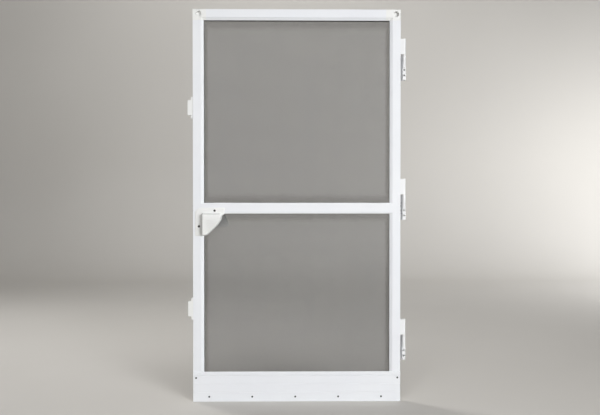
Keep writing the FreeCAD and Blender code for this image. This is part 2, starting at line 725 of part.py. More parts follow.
def ring(outer, inner, z, height):
    centre = Vector(AXIS_X, AXIS_Y, z)
    return cylinder(outer, centre, Z_AXIS, height).cut(
        cylinder(inner, centre - Z_AXIS * OVERSHOOT, Z_AXIS, height + 2 * OVERSHOOT)
    )


def hinge_bush(bottom):
    _, bracket_top, _, _ = hinge_levels(bottom)
    inner = PIN_RADIUS + RUNNING_CLEARANCE
    return ring(BORE_RADIUS, inner, bracket_top - BUSH_LENGTH, BUSH_LENGTH)


def hinge_washer(bottom):
    _, bracket_top, _, _ = hinge_levels(bottom)
    inner = PIN_RADIUS + RUNNING_CLEARANCE
    return ring(BARREL_RADIUS - WASHER_INSET, inner, bracket_top, WASHER_THICKNESS)


def hinge_plug(bottom):
    _, _, plug, _ = hinge_levels(bottom)
    return ring(BORE_RADIUS, PIN_RADIUS + RUNNING_CLEARANCE, plug, PLUG_LENGTH)


def hinge_cap(bottom):
    """A shallow domed cap over the knuckle's bore."""
    _, _, _, top = hinge_levels(bottom)
    cap = cylinder(BARREL_RADIUS, Vector(AXIS_X, AXIS_Y, top), Z_AXIS, CAP_HEIGHT)
    upper = top + CAP_HEIGHT / 2
    rim = [edge for edge in cap.Edges if edge.Closed and edge.CenterOfMass.z > upper]
    return cap.makeFillet(CAP_ROUND, rim)


def hinge_spring(bottom):
    """A torsion spring between the anchor plug and the bush, coiled round the pin."""
    _, bracket_top, plug, _ = hinge_levels(bottom)
    low = plug + PLUG_LENGTH + 2 * SPRING_WIRE_RADIUS
    height = bracket_top - BUSH_LENGTH - 2 * SPRING_WIRE_RADIUS - low
    turns = math.floor(height / SPRING_PITCH)
    coil = Part.makeHelix(SPRING_PITCH, turns * SPRING_PITCH, SPRING_COIL_RADIUS)
    start = Vector(SPRING_COIL_RADIUS, 0, 0)
    circle = Part.Circle(start, Y_AXIS, SPRING_WIRE_RADIUS)
    wire = Part.Wire(coil.Edges).makePipeShell([Part.Wire(circle.toShape())], True, True)
    wire.translate(Vector(AXIS_X, AXIS_Y, low))
    return wire


# Magnetic catches


def catch_housing(centre):
    """A block with an ear at each end, fixed to the stile's edge, open at its back."""
    block = box(
        (-HALF_WIDTH - CATCH_REACH, CATCH_FRONT_Y, centre - CATCH_BLOCK_LENGTH / 2),
        (-HALF_WIDTH, BACK_Y, centre + CATCH_BLOCK_LENGTH / 2),
    )
    far = -HALF_WIDTH - CATCH_REACH + TOLERANCE
    outer = [edge for edge in block.Edges if edge.CenterOfMass.x < far]
    block = block.makeFillet(CATCH_ROUND, outer)
    base = box(
        (-HALF_WIDTH - CATCH_BASE_THICKNESS, CATCH_FRONT_Y, centre - CATCH_BASE_LENGTH / 2),
        (-HALF_WIDTH, BACK_Y, centre + CATCH_BASE_LENGTH / 2),
    )
    half = MAGNET_WIDTH / 2 + POLE_THICKNESS + POCKET_GAP
    reach = MAGNET_LENGTH / 2 + POCKET_GAP
    pocket = box(
        (CATCH_MIDDLE - half, BACK_Y - MAGNET_DEPTH, centre - reach),
        (CATCH_MIDDLE + half, BACK_Y + OVERSHOOT, centre + reach),
    )
    holes = [pocket]
    start = -HALF_WIDTH - CATCH_BASE_THICKNESS - OVERSHOOT
    for offset in (-CATCH_SCREW_OFFSET, CATCH_SCREW_OFFSET):
        at = Vector(start, 0, centre + offset)
        holes.append(cylinder(HOLE_RADIUS, at, X_AXIS, -HALF_WIDTH + OVERSHOOT - start))
        holes.append(cylinder(SMALL_HEAD_RADIUS + HEAD_CLEARANCE, at, X_AXIS,
                              CATCH_SCREW_SEAT - start))
    return block.fuse(base).removeSplitter().cut(holes)


def catch_magnet(centre):
    half_w, half_l = MAGNET_WIDTH / 2, MAGNET_LENGTH / 2
    return box(
        (CATCH_MIDDLE - half_w, BACK_Y - MAGNET_DEPTH, centre - half_l),
        (CATCH_MIDDLE + half_w, BACK_Y - MAGNET_RECESS, centre + half_l),
    )


def catch_poles(centre):
    """Steel strips on both sides of the magnet, proud enough to meet the strike on the jamb."""
    half_l = MAGNET_LENGTH / 2
    poles = []
    for side in (-1, 1):
        near = CATCH_MIDDLE + side * MAGNET_WIDTH / 2
        xs = sorted((near, near + side * POLE_THICKNESS))
        poles.append(box((xs[0], BACK_Y - MAGNET_DEPTH, centre - half_l),
                         (xs[1], JAMB_Y, centre + half_l)))
    return poles


def build():
    os.makedirs("parts", exist_ok=True)

    export("latch_stile", stile(-1))
    export("hinge_stile", stile(1))
    export("top_rail", end_rail(LEAF_HEIGHT, -1, LEFT_BLOCK_WIDTH, RIGHT_BLOCK_WIDTH, []))
    export("bottom_rail", end_rail(0, 1, STILE_WIDTH, STILE_WIDTH, kick_holes()))
    export("mid_rail", mid_rail())
    top, bottom = (LEAF_HEIGHT, -1), (0, 1)
    export("top_left_corner_block",
           corner_block(*top, -1, LEFT_BLOCK_WIDTH, LEFT_RECESS_FROM_EDGE))
    export("top_right_corner_block",
           corner_block(*top, 1, RIGHT_BLOCK_WIDTH, RIGHT_RECESS_FROM_EDGE))
    export("bottom_left_corner_block", corner_block(*bottom, -1, STILE_WIDTH))
    export("bottom_right_corner_block", corner_block(*bottom, 1, STILE_WIDTH))

    for name, low, high, low_half, high_half in screen_fields():
        export(name + "_screen", screen(low, high, low_half, high_half))
        export(name + "_screen_spline", *spline(low, high, low_half, high_half))

    export("kick_plate", kick_plate())
    export("kick_plate_screws", *[
        screw(Vector(x, FRONT_Y - KICK_THICKNESS, z), -Y_AXIS, KICK_SCREW_LENGTH, turn=x)
        for x, z in kick_screw_places()
    ])
    export("mid_rail_screws", *[
        screw(Vector(side * HALF_WIDTH, PORT_Y, z), X_AXIS * side, RAIL_SCREW_LENGTH)
        for side in (-1, 1)
        for z in rail_screw_heights()
    ])

    export("front_pull", pull(FRONT_RIM, FRONT_HOOD, FRONT_SLOPES, -1))
    export("rear_pull", pull(REAR_RIM, REAR_HOOD, REAR_SLOPES, 1))
    through = FRAME_DEPTH + 2 * PULL_PLATE - PULL_SCREW_SHORT
    export("pull_screws", *[
        screw(Vector(x, FRONT_Y - PULL_PLATE, z), -Y_AXIS, through, PULL_HEAD_RADIUS)
        for x, z in pull_screw_places()
    ])

    for name, centre in CATCH_HEIGHTS.items():
        export(name + "_catch_housing", catch_housing(centre))
        export(name + "_catch_magnet", catch_magnet(centre))
        export(name + "_catch_pole_plates", *catch_poles(centre))
    export("catch_screws", *[
        screw(Vector(CATCH_SCREW_SEAT, 0, z), -X_AXIS, CATCH_SCREW_LENGTH, SMALL_HEAD_RADIUS)
        for z in catch_screw_heights()
    ])

    for name, z in HINGE_BOTTOMS.items():
        export(name + "_hinge_knuckle", hinge_knuckle(z))
        export(name + "_hinge_bracket", hinge_bracket(z))
        export(name + "_hinge_pin", hinge_pin(z))
        export(name + "_hinge_spring", hinge_spring(z))
    bottoms = HINGE_BOTTOMS.values()
    export("hinge_bushes", *[hinge_bush(z) for z in bottoms])
    export("hinge_thrust_washers", *[hinge_washer(z) for z in bottoms])
    export("hinge_spring_anchors", *[hinge_plug(z) for z in bottoms])
    export("hinge_caps", *[hinge_cap(z) for z in bottoms])
    export("hinge_flange_screws", *[
        screw(Vector(HALF_WIDTH + FLANGE_THICKNESS, FLANGE_SCREW_Y, z), X_AXIS,
              FLANGE_SCREW_LENGTH, SMALL_HEAD_RADIUS)
        for z in all_flange_screw_heights()
    ])


build()
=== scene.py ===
import json
import math
import random

import bmesh
import bpy
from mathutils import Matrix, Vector


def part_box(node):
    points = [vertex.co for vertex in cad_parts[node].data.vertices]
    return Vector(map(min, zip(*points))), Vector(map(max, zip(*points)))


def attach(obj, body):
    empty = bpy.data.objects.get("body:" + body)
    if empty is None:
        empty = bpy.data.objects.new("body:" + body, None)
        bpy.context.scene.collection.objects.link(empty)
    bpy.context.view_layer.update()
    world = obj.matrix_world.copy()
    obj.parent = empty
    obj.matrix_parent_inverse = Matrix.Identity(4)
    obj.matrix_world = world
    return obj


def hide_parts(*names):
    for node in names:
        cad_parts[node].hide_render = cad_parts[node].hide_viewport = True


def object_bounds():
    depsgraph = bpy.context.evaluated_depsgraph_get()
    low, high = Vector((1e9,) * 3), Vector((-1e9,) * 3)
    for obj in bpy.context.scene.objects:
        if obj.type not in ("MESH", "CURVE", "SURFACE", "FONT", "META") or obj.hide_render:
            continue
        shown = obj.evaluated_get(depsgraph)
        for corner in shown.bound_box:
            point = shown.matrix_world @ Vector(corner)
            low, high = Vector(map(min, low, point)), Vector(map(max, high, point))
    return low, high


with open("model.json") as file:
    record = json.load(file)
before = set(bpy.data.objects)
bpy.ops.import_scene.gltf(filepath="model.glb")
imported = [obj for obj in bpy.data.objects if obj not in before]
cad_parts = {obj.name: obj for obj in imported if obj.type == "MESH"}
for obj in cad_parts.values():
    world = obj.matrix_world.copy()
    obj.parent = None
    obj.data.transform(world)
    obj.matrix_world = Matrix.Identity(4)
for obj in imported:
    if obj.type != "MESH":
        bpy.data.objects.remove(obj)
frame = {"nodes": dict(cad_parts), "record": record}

cad_low, cad_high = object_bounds()
NODES = frame["nodes"]
LEAF, JAMB = "leaf", "jamb_side"

MM = 0.001

# The camera stands in front of the leaf, a little above the mid rail.
CAMERA_PLACE = Vector((-0.0126, -2.958, 0.970))
CAMERA_PITCH = math.radians(-0.631)  # downwards
CAMERA_YAW = math.radians(-0.54)  # towards the hinges
CAMERA_LENS = 36.65
SENSOR_WIDTH = 36.0

# Stage and light, in metres
WALL_DISTANCE = 6.0
SWEEP_RADIUS = 1.6  # of the curve between floor and wall
SWEEP_STEPS = 16
STAGE_HALF_WIDTH = 24.0
STAGE_FRONT = -24.0
WALL_HEIGHT = 9.0
FLOOR_DROP = 0.5 * MM  # the floor lies this far below the part
COOL_LIGHT = (0.97, 0.985, 1.0)

# Screen cloth
THREAD_PITCH = 1.6 * MM
THREAD_WIDTH = 0.60 * MM
THREAD_THICKNESS = 0.32 * MM
THREAD_FLAT = 0.55  # share of the thread's width between its bevelled edges
THREAD_WANDER = 0.16 * MM  # from its even place, either way
THREAD_CLEARANCE = 0.02 * MM  # to the faces of the cloth's box
THREAD_BEND = 0.4 * MM  # where a thread turns down into its groove
CLOTH_HIDDEN = 10.7 * MM  # of the cloth on every side that lies in its groove and behind the lip
# Painted shade along the cloth's edges, darker towards the frame
EDGE_SHADE_WIDTH = 18 * MM  # of the painted shade along the edges of the visible cloth
EDGE_SHADE_SPREAD = 2.5  # how much wider the painted shade lies along the cloth's ends than along its sides
EDGE_SHADE_STOPS = [(0.0, 0.12), (0.35, 0.3), (0.7, 0.75), (1.0, 1.0)]

# Painted shade on the walls of the openings, a dark grey where shade falls. Each wall is an axis,
# a piece and the side of the piece's box that it lies on: 0 is its low side and 1 its high side.
OPENING_WALLS = [("X", "latch_stile", 1), ("X", "hinge_stile", 0), ("Z", "top_rail", 0),
                 ("Z", "mid_rail", 0), ("Z", "mid_rail", 1), ("Z", "bottom_rail", 1)]
WALL_SKIN = 0.5 * MM  # a surface this near to a wall's plane is part of it
SHADE_FRONT_Y = -7.5 * MM  # behind the bevel
SHADE_BACK_Y = 12.1 * MM  # in front of the lip's back face
SHADE_WANDER = 2 * MM  # of the painted shade's front edge
# colours of the painted shade on the openings' inner walls
WALL_SHADE_DARK = (0.085, 0.085, 0.09)
WALL_SHADE_LIGHT = (0.15, 0.148, 0.145)

# Spline cords
SPLINE_RIBS = 10
SPLINE_RIB_DEPTH = 0.25 * MM
STEPS_PER_RIB = 4
WELD_DISTANCE = 1e-6  # between points that belong together

# Corner pulls, all in millimetres. Outlines are measured from the corner where the latch stile's
# inner edge meets the mid rail's lower edge: (along, above), clockwise as seen from the front.
# Slopes and corners have one value for each edge or corner of a hood: how far the edge leans in at
# the hood's face, and the corner's radius.
PULL_REACH = 32.0
PULL_PLATE = 3.0
PULL_WALL = 2.8
PULL_LEFT = -42.0
PULL_TOP = 28.0
PULL_RIGHT = 102.0
PULL_BOTTOM = -107.0
PULL_CORNER = 27.0
SHOULDER = 7.0  # radius of the hood's edge round its face
SHOULDER_STEPS = 6
HOOD_OPEN_REACH = 20  # the hood's cavity runs this far out of its open side
PLATE_EDGE = 1.3  # thickness of the plate at its rim, from where it rises over the bevel
PLATE_BEVEL = 5.0
PLATE_CHAMFER = 4.0  # at the plate's square corners
PLATE_SMALL_CORNER = 1.5
PLATE_CORNER_STEPS = 10
PLATE_LIFT = 0.05  # the plate's back above the leaf's face
FRONT_RIM = [(99, -1), (89, -11), (86, -28), (71, -51), (21, -101), (12, -105)]
FRONT_HOOD = [(-2.5, 4), (89, 4), (86, -28), (71, -51), (21, -101), (9, -105), (-2.5, -105)]
FRONT_SLOPES = [8, 2, 2, 2, 2, 2, 0]
FRONT_CORNERS = [0, 9, 14, 16, 14, 6, 0]
REAR_RIM = [(96, 0), (106, -20), (119, -53), (109, -65), (0, -65)]
REAR_HOOD = [(-2.5, 4), (92, 4), (106, -20), (119, -53), (109, -65), (-2.5, -65)]
REAR_SLOPES = [8, 3, 3, 3, 5, 0]
REAR_CORNERS = [0, 10, 10, 10, 8, 0]
PULL_SCREWS = [(52.2, 14.4), (-23.3, -61.2)]
SCREW_HOLE = 2.05
HOLE_SIDES = 24
CUT_BELOW = 1  # how far a screw hole's tool runs past the plate
CUT_ABOVE = 2  # and past the hood
RIB_FEET = (-44.0, -35.0, -26.0)  # lower edges of the ribs on the front pull's plate
RIB_FROM = -18
RIB_TO = -6
RIB_WIDTH = 2.2
RIB_ROOT = 1  # how deep a rib stands in the plate
RIB_RISE = 1.6
GRIP_START = Vector((64.0, -38.5))  # first hole of the longest row
GRIP_STEP = Vector((-9.6, -10.2))  # from hole to hole in a row
GRIP_ROW = Vector((-11.2, 1.9))  # from row to row
GRIP_ROWS = 5  # each has one hole fewer than the row before
GRIP_RADIUS = 2.4
VOXEL = 0.9 * MM  # the one length here in metres
SOFTEN_FACTOR = 0.5
SOFTEN_ROUNDS = 4

# Edges sharper than this many degrees stay sharp in the shading
SPLINE_SHARP_ANGLE = 50
PULL_SHARP_ANGLE = 38


# Meshes


def link(name, mesh):
    """Puts a mesh in the scene as an object."""
    item = bpy.data.objects.new(name, mesh)
    bpy.context.scene.collection.objects.link(item)
    return item


def mesh_object(name, points, faces):
    mesh = bpy.data.meshes.new(name)
    mesh.from_pydata([tuple(p) for p in points], [], faces)
    mesh.update()
    return link(name, mesh)


def delete(item):
    mesh = item.data
    bpy.data.objects.remove(item)
    bpy.data.meshes.remove(mesh)


def apply_modifiers(item):
    """Replaces an object's mesh by what its modifiers make of it."""
    graph = bpy.context.evaluated_depsgraph_get()
    made = bpy.data.meshes.new_from_object(item.evaluated_get(graph))
    item.modifiers.clear()
    old = item.data
    item.data = made
    bpy.data.meshes.remove(old)


def boolean(item, tool, operation):
    """Joins or cuts with a closed tool, then deletes the tool."""
    modifier = item.modifiers.new("boolean", "BOOLEAN")
    modifier.operation = operation
    modifier.solver = "EXACT"
    modifier.object = tool
    apply_modifiers(item)
    delete(tool)


def stack(name, rings):
    """A closed solid through rings of points that all have the same number of points."""
    count = len(rings[0])
    points = [p for ring in rings for p in ring]
    faces = []
    for level in range(len(rings) - 1):
        for i in range(count):
            j = (i + 1) % count
            a, b = level * count, (level + 1) * count
            faces.append((a + i, a + j, b + j, b + i))
    faces.append(tuple(reversed(range(count))))
    last = (len(rings) - 1) * count
    faces.append(tuple(range(last, last + count)))
    item = mesh_object(name, points, faces)
    face_outwards(item)
    return item


def face_outwards(item):
    shape = bmesh.new()
    shape.from_mesh(item.data)
    bmesh.ops.recalc_face_normals(shape, faces=shape.faces)
    shape.to_mesh(item.data)
    shape.free()


def smooth(item, angle=None):
    for polygon in item.data.polygons:
        polygon.use_smooth = True
    if angle is not None:
        item.data.set_sharp_from_angle(angle=math.radians(angle))


def join(name, parts):
    """Several meshes as one object."""
    shape = bmesh.new()
    for part in parts:
        shape.from_mesh(part.data)
        delete(part)
    mesh = bpy.data.meshes.new(name)
    shape.to_mesh(mesh)
    shape.free()
    return link(name, mesh)


# Woven screens


def thread(path, across, points, faces):
    """Adds a flat thread with bevelled edges along a path. across is its width's direction."""
    start = len(points)
    flat = THREAD_FLAT
    section = [(-1, 0), (-flat, -1), (flat, -1), (1, 0), (flat, 1), (-flat, 1)]
    sides = len(section)
    for i, place in enumerate(path):
        before, after = path[max(i - 1, 0)], path[min(i + 1, len(path) - 1)]
        up = (after - before).cross(across).normalized()
        for u, v in section:
            points.append(place + across * (u * THREAD_WIDTH / 2)
                          + up * (v * THREAD_THICKNESS / 2))
    for i in range(len(path) - 1):
        for j in range(sides):
            a, b = start + i * sides, start + (i + 1) * sides
            k = (j + 1) % sides
            faces.append((a + j, a + k, b + k, b + j))
    last = start + (len(path) - 1) * sides
    faces.append(tuple(reversed(range(start, start + sides))))
    faces.append(tuple(range(last, last + sides)))


def woven_screen(node):
    """Threads both ways over the opening, turned into the grooves at their ends."""
    low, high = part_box(node)
    turn = THREAD_THICKNESS / 2 + THREAD_CLEARANCE
    front, back = low.y + turn, high.y - turn
    across, upright = Vector((1, 0, 0)), Vector((0, 0, 1))
    chance = random.Random(node)
    points, faces = [], []
    left, right = low.x + turn, high.x - turn
    foot, head = low.z + turn, high.z - turn

    def wander():
        return chance.uniform(-THREAD_WANDER, THREAD_WANDER)

    def bent(at):
        """A thread's path over the cloth's plane and down into the groove at both ends."""
        def path(start, end):
            step = (end - start).normalized() * THREAD_BEND
            return [at(start, front), at(start, back - THREAD_BEND), at(start + step, back),
                    at(end - step, back), at(end, back - THREAD_BEND), at(end, front)]
        return path

    count = int((right - left - 2 * THREAD_PITCH) / THREAD_PITCH)
    first = (left + right) / 2 - count * THREAD_PITCH / 2
    for i in range(count + 1):
        x = first + i * THREAD_PITCH + wander()
        path = bent(lambda p, y, x=x: Vector((x, y, p.z)))(upright * foot, upright * head)
        thread(path, across, points, faces)
    count = int((head - foot - 2 * THREAD_PITCH) / THREAD_PITCH)
    first = (foot + head) / 2 - count * THREAD_PITCH / 2
    for i in range(count + 1):
        z = first + i * THREAD_PITCH + wander()
        path = bent(lambda p, y, z=z: Vector((p.x, y, z)))(across * left, across * right)
        thread(path, upright, points, faces)
    item = mesh_object("woven_" + node, points, faces)
    face_outwards(item)
    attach(item, LEAF)
    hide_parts(node)
    item.data.materials.append(cloth(node))
    return item


# Spline cords


def ribbed_cord(start, end, radius):
    """A vinyl cord with ribs along it."""
    along = (end - start).normalized()
    side = along.orthogonal().normalized()
    other = along.cross(side)
    rings = []
    steps = STEPS_PER_RIB * SPLINE_RIBS
    for place in (start, end):
        ring = []
        for i in range(steps):
            angle = 2 * math.pi * i / steps
            depth = SPLINE_RIB_DEPTH * (1 - math.cos(angle * SPLINE_RIBS)) / 2
            ring.append(place + (side * math.cos(angle) + other * math.sin(angle))
                        * (radius - depth))
        rings.append(ring)
    return stack("cord", rings)


def islands(node):
    """The box of every separate solid of a node."""
    shape = bmesh.new()
    shape.from_mesh(NODES[node].data)
    bmesh.ops.remove_doubles(shape, verts=shape.verts, dist=WELD_DISTANCE)
    seen, boxes = set(), []
    for vertex in shape.verts:
        if vertex in seen:
            continue
        seen.add(vertex)
        group, edge = [], [vertex]
        while edge:
            here = edge.pop()
            group.append(here.co)
            for near in (e.other_vert(here) for e in here.link_edges):
                if near not in seen:
                    seen.add(near)
                    edge.append(near)
        low = Vector(min(p[i] for p in group) for i in range(3))
        high = Vector(max(p[i] for p in group) for i in range(3))
        boxes.append((low, high))
    shape.free()
    return boxes


def spline(node):
    """The cords pressed into the grooves round one screen."""
    cords = []
    for low, high in islands(node):
        middle = (low + high) / 2
        size = high - low
        axis = 0 if size.x > size.z else 2
        start, end = middle.copy(), middle.copy()
        start[axis], end[axis] = low[axis], high[axis]
        cords.append(ribbed_cord(start, end, size.y / 2))
    item = join("ribbed_" + node, cords)
    smooth(item, SPLINE_SHARP_ANGLE)
    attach(item, LEAF)
    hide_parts(node)
    item.data.materials.append(MATERIALS["vinyl_grey"])
    return item


# Corner pulls


def rounded(points, radii, steps=6):
    """An outline with its corners rounded, each with its own radius. Every corner becomes the same
    number of points, so that outlines of one shape can be stacked."""
    out = []
    count = len(points)
    for i, (point, radius) in enumerate(zip(points, radii)):
        here = Vector(point)
        before, after = Vector(points[i - 1]), Vector(points[(i + 1) % count])
        back, on = (before - here).normalized(), (after - here).normalized()
        half = back.angle(on) / 2
        reach = min(radius / math.tan(half), (before - here).length / 2.1,
                    (after - here).length / 2.1)
        radius = reach * math.tan(half)
        if radius < 0.01:
            out += [here] * (steps + 1)
            continue
        middle = here + (back + on).normalized() * (radius / math.sin(half))
        a, b = here + back * reach - middle, here + on * reach - middle
        turn = a.angle_signed(b)
        for k in range(steps + 1):
            angle = -turn * k / steps
            c, s = math.cos(angle), math.sin(angle)
            out.append(middle + Vector((a.x * c - a.y * s, a.x * s + a.y * c)))
    return out


def inset(points, distances):
    """Moves each edge of a clockwise outline inwards by its own distance."""
    moved = []
    count = len(points)
    for i in range(count):
        lines = []
        for j in (i - 1, i):
            a, b = Vector(points[j]), Vector(points[(j + 1) % count])
            normal = Vector((b.y - a.y, a.x - b.x)).normalized()
            lines.append((normal, normal.dot(a) + distances[j]))
        (m, c), (n, d) = lines
        det = m.x * n.y - m.y * n.x
        moved.append(((c * n.y - d * m.y) / det, (m.x * d - n.x * c) / det))
    return moved


class Place:
    """Turns (along, above, out) in millimetres into points at one face of the leaf."""

    def __init__(self, face):
        stile_low, stile_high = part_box("latch_stile")
        self.corner_x = stile_high.x
        self.corner_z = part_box("mid_rail")[0].z
        self.face = face
        self.y = stile_low.y if face < 0 else stile_high.y

    def at(self, along, above, out):
        return Vector((self.corner_x + along * MM, self.y + self.face * out * MM,
                       self.corner_z + above * MM))

    def ring(self, outline, out):
        return [self.at(p[0], p[1], out) for p in outline]


def hood_solid(place, outline, slopes, corners, out_from, out_to, shoulder, extra=0.0):
    """A hood's outer or inner block, with a rounded shoulder along all but the open side, which
    moves out by extra."""
    rings = []
    neck = out_to - shoulder
    open_side = len(outline) - 1

    def level(out, tuck):
        lean = [slope * (out - out_from) / (PULL_REACH - out_from) for slope in slopes]
        moves = [value + tuck for value in lean]
        moves[open_side] = -extra
        return place.ring(rounded(inset(outline, moves), corners), out)

    rings.append(level(out_from, 0))
    rings.append(level(neck, 0))
    for i in range(1, SHOULDER_STEPS + 1):
        angle = math.pi / 2 * i / SHOULDER_STEPS
        rings.append(level(neck + shoulder * math.sin(angle), shoulder * (1 - math.cos(angle))))
    return stack("hood", rings)


def plate_solid(place, rim, out_from, out_to):
    """The plate on the leaf's face, with a bevel all round its edge."""
    left, top, right, bottom = PULL_LEFT, PULL_TOP, PULL_RIGHT, PULL_BOTTOM
    chamfer = PLATE_CHAMFER
    points = [(left, top), (right - chamfer, top), (right, top - chamfer)] + rim
    points += [(0, bottom), (left + chamfer, bottom), (left, bottom + chamfer)]
    radii = [PULL_CORNER] + [PLATE_SMALL_CORNER] * (len(points) - 1)
    outline = rounded(points, radii, PLATE_CORNER_STEPS)
    brim = inset(outline, [PLATE_BEVEL] * len(outline))
    return stack("plate", [place.ring(outline, out_from), place.ring(outline, PLATE_EDGE),
                           place.ring(brim, out_to)])


def round_tool(place, along, above, radius, out_from, out_to):
    """A round pin standing on the leaf's face, to cut with."""
    circle = []
    for i in range(HOLE_SIDES):
        angle = -2 * math.pi * i / HOLE_SIDES
        circle.append((along + radius * math.cos(angle), above + radius * math.sin(angle)))
    return stack("pin", [place.ring(circle, out_from), place.ring(circle, out_to)])


def block_tool(place, low, high, out_from, out_to):
    """A block between two corners on the leaf's face."""
    outline = [(low[0], high[1]), (high[0], high[1]), (high[0], low[1]), (low[0], low[1])]
    return stack("block", [place.ring(outline, out_from), place.ring(outline, out_to)])


def remesh(item):
    """One skin over the joined solids, with every edge softened as a moulding's are."""
    voxel = item.modifiers.new("voxel", "REMESH")
    voxel.mode = "VOXEL"
    voxel.voxel_size = VOXEL
    soften = item.modifiers.new("soften", "SMOOTH")
    soften.factor = SOFTEN_FACTOR
    soften.iterations = SOFTEN_ROUNDS
    apply_modifiers(item)


def grip_holes():
    """Places of the small holes over the hood's lower right, in a triangle of rows."""
    return [
        GRIP_START + GRIP_ROW * row + GRIP_STEP * i
        for row in range(GRIP_ROWS)
        for i in range(GRIP_ROWS - row)
    ]


def pull(node, face, rim, hood, slopes, corners):
    """A moulded corner pull: bevelled plate and hollow hood, with ribs and grip holes in front."""
    place = Place(face)
    shell = hood_solid(place, hood, slopes, corners, 0, PULL_REACH, SHOULDER)
    walls = inset(hood, [PULL_WALL] * (len(hood) - 1) + [0])
    cavity = hood_solid(place, walls, slopes, [max(c - PULL_WALL, 0) for c in corners],
                        PULL_PLATE, PULL_REACH - PULL_WALL, SHOULDER - PULL_WALL,
                        extra=HOOD_OPEN_REACH)
    boolean(shell, cavity, "DIFFERENCE")
    boolean(shell, plate_solid(place, rim, PLATE_LIFT, PULL_PLATE), "UNION")
    if face < 0:
        for foot in RIB_FEET:
            rib = block_tool(place, (RIB_FROM, foot), (RIB_TO, foot + RIB_WIDTH),
                             PULL_PLATE - RIB_ROOT, PULL_PLATE + RIB_RISE)
            boolean(shell, rib, "UNION")
    remesh(shell)
    top = PULL_REACH + CUT_ABOVE
    for along, above in PULL_SCREWS:
        tool = round_tool(place, along, above, SCREW_HOLE, -CUT_BELOW, top)
        boolean(shell, tool, "DIFFERENCE")
    if face < 0:
        inside = PULL_REACH - 2 * PULL_WALL
        holes = [round_tool(place, hole.x, hole.y, GRIP_RADIUS, inside, top)
                 for hole in grip_holes()]
        boolean(shell, join("holes", holes), "DIFFERENCE")
    shell.name = "moulded_" + node
    shell.data.name = shell.name
    smooth(shell, PULL_SHARP_ANGLE)
    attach(shell, LEAF)
    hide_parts(node)
    shell.data.materials.clear()
    shell.data.materials.append(MATERIALS["moulded_white"])
    return shell


# Materials


class Graph:
    """A material's nodes, with short ways to add and join them."""

    def __init__(self, name):
        self.material = bpy.data.materials.new(name)
        self.material.use_nodes = True
        self.tree = self.material.node_tree
        self.shader = self.tree.nodes["Principled BSDF"]
        self.place = self.add("ShaderNodeTexCoord").outputs["Object"]

    def add(self, kind, **values):
        node = self.tree.nodes.new(kind)
        for name, value in values.items():
            setattr(node, name, value)
        return node

    def join(self, output, socket):
        self.tree.links.new(output, socket)

    def noise(self, scale, detail=2.0, roughness=0.5, stretch=None):
        """Noise with a scale in features per metre; stretch divides it along each axis."""
        node = self.add("ShaderNodeTexNoise")
        node.inputs["Scale"].default_value = scale
        node.inputs["Detail"].default_value = detail
        node.inputs["Roughness"].default_value = roughness
        place = self.place
        if stretch:
            mapping = self.add("ShaderNodeMapping")
            mapping.inputs["Scale"].default_value = stretch
            self.join(place, mapping.inputs["Vector"])
            place = mapping.outputs["Vector"]
        self.join(place, node.inputs["Vector"])
        return node.outputs["Fac"]

    def ramp(self, value, stops):
        """A colour ramp of (position, colour) stops; a colour may be one grey number."""
        node = self.add("ShaderNodeValToRGB")
        elements = node.color_ramp.elements
        while len(elements) < len(stops):
            elements.new(0.5)
        for element, (position, colour) in zip(elements, stops):
            if isinstance(colour, float):
                colour = (colour, colour, colour)
            element.position = position
            element.color = (*colour, 1)
        self.join(value, node.inputs["Fac"])
        return node.outputs["Color"]

    def mix(self, amount, first, second, blend="MIX"):
        node = self.add("ShaderNodeMix", data_type="RGBA", blend_type=blend)
        for value, socket in ((amount, 0), (first, 6), (second, 7)):
            if isinstance(value, bpy.types.NodeSocket):
                self.join(value, node.inputs[socket])
            elif isinstance(value, tuple):
                node.inputs[socket].default_value = (*value, 1)
            else:
                node.inputs[socket].default_value = value
        return node.outputs[2]

    def math(self, operation, first, second, third=0.0):
        node = self.add("ShaderNodeMath", operation=operation)
        for value, socket in ((first, 0), (second, 1), (third, 2)):
            if isinstance(value, bpy.types.NodeSocket):
                self.join(value, node.inputs[socket])
            else:
                node.inputs[socket].default_value = value
        return node.outputs[0]

    def bump(self, height, distance, strength=1.0, normal=None):
        """distance is the relief's height in metres."""
        node = self.add("ShaderNodeBump")
        node.inputs["Distance"].default_value = distance
        node.inputs["Strength"].default_value = strength
        self.join(height, node.inputs["Height"])
        if normal:
            self.join(normal, node.inputs["Normal"])
        return node.outputs["Normal"]

    def finish(self, colour, roughness, normal, **values):
        self.join(colour, self.shader.inputs["Base Color"])
        self.join(roughness, self.shader.inputs["Roughness"])
        self.join(normal, self.shader.inputs["Normal"])
        for name, value in values.items():
            self.shader.inputs[name.replace("_", " ")].default_value = value
        return self.material


def paint_wall_shade(graph, colour):
    """Paints shade into a frame piece's colour: a dark grey on its inner walls round a screen,
    where shade falls.
    """
    split = graph.add("ShaderNodeSeparateXYZ")
    graph.join(graph.place, split.inputs["Vector"])
    nearness = 0.0
    for axis, node, corner in OPENING_WALLS:
        place = getattr(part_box(node)[corner], axis.lower())
        near = graph.math("COMPARE", split.outputs[axis], place, WALL_SKIN)
        nearness = graph.math("MAXIMUM", nearness, near)
    edge = graph.math("MULTIPLY", graph.noise(60, 4, 0.6), SHADE_WANDER)
    behind = graph.math("GREATER_THAN", graph.math("SUBTRACT", split.outputs["Y"], edge),
                        SHADE_FRONT_Y)
    before = graph.math("LESS_THAN", split.outputs["Y"], SHADE_BACK_Y)
    amount = graph.math("MULTIPLY", nearness, graph.math("MULTIPLY", behind, before))
    # painted shade: dark grey laid on the inner walls round the screens, where shade falls
    painted_shade = graph.ramp(graph.noise(45, 4), [(0.3, WALL_SHADE_DARK), (0.7, WALL_SHADE_LIGHT)])
    return graph.mix(amount, colour, painted_shade)


